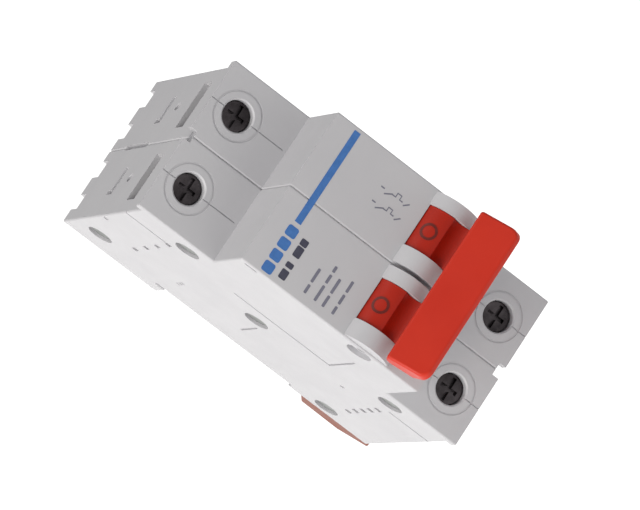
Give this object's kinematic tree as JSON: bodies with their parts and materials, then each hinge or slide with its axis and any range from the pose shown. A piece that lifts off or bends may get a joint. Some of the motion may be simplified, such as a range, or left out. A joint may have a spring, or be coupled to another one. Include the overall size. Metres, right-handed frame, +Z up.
{
  "type": "miniature circuit breaker",
  "caption": "Modular circuit breaker for a 35 mm rail: joined red toggles, moulded light grey case, rising cage terminals, sliding rail clips and a full trip mechanism.",
  "frame": {"origin": "centre of the rail seat: the middle of the width, halfway up the 35 mm rail, on the plane that rests on the rail", "axes": "+Z up as mounted (line terminals up), -Y out of the front towards the user, +X to the right seen from the front"},
  "size_m": [0.0356, 0.0797, 0.0819],
  "materials": {
    "case": "fine matte moulding",
    "handle": "satin moulded",
    "clip": "satin moulded",
    "steel": "zinc plated",
    "spring_steel": "drawn wire",
    "plated_steel": "copper washed sheet",
    "copper": "rolled copper",
    "brass": "turned",
    "bimetal": "rolled strip",
    "bobbin": "moulded",
    "latch": "moulded",
    "rivet": "bright plated",
    "card": "vulcanised fibre"
  },
  "bodies": {
    "root": {"left_case_base": "case", "left_case_cover": "case", "left_toggle_spring": "spring_steel", "left_contact_spring": "spring_steel", "left_fixed_contact": "copper", "left_coil": "copper", "left_bobbin": "bobbin", "left_plunger_spring": "spring_steel", "left_yoke": "steel", "left_bimetal": "bimetal", "left_calibration_screw": "brass", "left_arc_splitters": "plated_steel", "left_arc_cards": "card", "left_arc_runner": "copper", "left_braid": "copper", "left_line_strip": "copper", "left_load_strip": "copper", "right_case_base": "case", "right_case_cover": "case", "right_toggle_spring": "spring_steel", "right_contact_spring": "spring_steel", "right_fixed_contact": "copper", "right_coil": "copper", "right_bobbin": "bobbin", "right_plunger_spring": "spring_steel", "right_yoke": "steel", "right_bimetal": "bimetal", "right_calibration_screw": "brass", "right_arc_splitters": "plated_steel", "right_arc_cards": "card", "right_arc_runner": "copper", "right_braid": "copper", "right_line_strip": "copper", "right_load_strip": "copper", "rivets": "rivet", "toggle_pin": "steel", "arm_pins": "steel"},
    "handle": {"left_toggle": "handle", "right_toggle": "handle", "tie_bar": "handle"},
    "trip": {"left_latch": "latch", "right_latch": "latch", "trip_bar": "latch"},
    "left_link_body": {"left_link": "steel"},
    "left_contact_arm_body": {"left_contact_arm": "copper"},
    "left_plunger_body": {"left_plunger": "steel"},
    "left_rail_clip_body": {"left_rail_clip": "clip"},
    "left_line_screw_body": {"left_line_screw": "steel"},
    "left_load_screw_body": {"left_load_screw": "steel"},
    "left_line_clamp_body": {"left_line_clamp": "steel"},
    "left_load_clamp_body": {"left_load_clamp": "steel"},
    "right_link_body": {"right_link": "steel"},
    "right_contact_arm_body": {"right_contact_arm": "copper"},
    "right_plunger_body": {"right_plunger": "steel"},
    "right_rail_clip_body": {"right_rail_clip": "clip"},
    "right_line_screw_body": {"right_line_screw": "steel"},
    "right_load_screw_body": {"right_load_screw": "steel"},
    "right_line_clamp_body": {"right_line_clamp": "steel"},
    "right_load_clamp_body": {"right_load_clamp": "steel"}
  },
  "joints": [
    {"name": "handle", "type": "hinge", "parent": "root", "child": "handle", "pos_m": [0, -0.057, -0.0089], "axis": [-1, 0, 0], "range_deg": [0, 46]},
    {"name": "trip", "type": "hinge", "parent": "root", "child": "trip", "pos_m": [0, -0.0456, 0.006], "axis": [1, 0, 0], "range_deg": [0, 10], "stiffness_Nm_per_rad": 0.02, "springref_deg": -11.46},
    {"name": "left_link", "type": "hinge", "parent": "handle", "child": "left_link_body", "pos_m": [-0.0089, -0.05856, -0.00522], "axis": [1, 0, 0], "range_deg": [0, 47.35]},
    {"name": "left_contact_arm", "type": "hinge", "parent": "root", "child": "left_contact_arm_body", "pos_m": [-0.0089, -0.038, 0.0005], "axis": [1, 0, 0], "range_deg": [0, 17.05]},
    {"name": "left_plunger", "type": "slide", "parent": "root", "child": "left_plunger_body", "axis": [0, 0, -1], "range_m": [0, 0.0022], "stiffness_N_per_m": 200, "springref_m": -0.002, "deforming": ["left_plunger_spring"]},
    {"name": "left_rail_clip", "type": "slide", "parent": "root", "child": "left_rail_clip_body", "axis": [0, 0, -1], "range_m": [0, 0.0036]},
    {"name": "left_line_screw", "type": "hinge", "parent": "root", "child": "left_line_screw_body", "pos_m": [-0.0089, -0.0424, 0.0348], "axis": [0, 1, 0], "range_deg": [0, 1351]},
    {"name": "left_line_clamp", "type": "slide", "parent": "root", "child": "left_line_clamp_body", "axis": [0, -1, 0], "range_m": [0, 0.003]},
    {"name": "left_load_screw", "type": "hinge", "parent": "root", "child": "left_load_screw_body", "pos_m": [-0.0089, -0.0424, -0.0332], "axis": [0, 1, 0], "range_deg": [0, 1351]},
    {"name": "left_load_clamp", "type": "slide", "parent": "root", "child": "left_load_clamp_body", "axis": [0, -1, 0], "range_m": [0, 0.003]},
    {"name": "right_link", "type": "hinge", "parent": "handle", "child": "right_link_body", "pos_m": [0.0089, -0.05856, -0.00522], "axis": [1, 0, 0], "range_deg": [0, 47.35]},
    {"name": "right_contact_arm", "type": "hinge", "parent": "root", "child": "right_contact_arm_body", "pos_m": [0.0089, -0.038, 0.0005], "axis": [1, 0, 0], "range_deg": [0, 17.05]},
    {"name": "right_plunger", "type": "slide", "parent": "root", "child": "right_plunger_body", "axis": [0, 0, -1], "range_m": [0, 0.0022], "stiffness_N_per_m": 200, "springref_m": -0.002, "deforming": ["right_plunger_spring"]},
    {"name": "right_rail_clip", "type": "slide", "parent": "root", "child": "right_rail_clip_body", "axis": [0, 0, -1], "range_m": [0, 0.0036]},
    {"name": "right_line_screw", "type": "hinge", "parent": "root", "child": "right_line_screw_body", "pos_m": [0.0089, -0.0424, 0.0348], "axis": [0, 1, 0], "range_deg": [0, 1351]},
    {"name": "right_line_clamp", "type": "slide", "parent": "root", "child": "right_line_clamp_body", "axis": [0, -1, 0], "range_m": [0, 0.003]},
    {"name": "right_load_screw", "type": "hinge", "parent": "root", "child": "right_load_screw_body", "pos_m": [0.0089, -0.0424, -0.0332], "axis": [0, 1, 0], "range_deg": [0, 1351]},
    {"name": "right_load_clamp", "type": "slide", "parent": "root", "child": "right_load_clamp_body", "axis": [0, -1, 0], "range_m": [0, 0.003]}
  ],
  "couplings": [
    {"joint": "left_link", "follows": "handle", "ratio": 1.0287},
    {"joint": "left_contact_arm", "follows": "handle", "ratio": 0.36957},
    {"joint": "left_line_screw", "follows": "left_line_clamp", "rad_per_m": 7854},
    {"joint": "left_load_screw", "follows": "left_load_clamp", "rad_per_m": 7854},
    {"joint": "right_link", "follows": "handle", "ratio": 1.0287},
    {"joint": "right_contact_arm", "follows": "handle", "ratio": 0.36957},
    {"joint": "right_line_screw", "follows": "right_line_clamp", "rad_per_m": 7854},
    {"joint": "right_load_screw", "follows": "right_load_clamp", "rad_per_m": 7854}
  ]
}
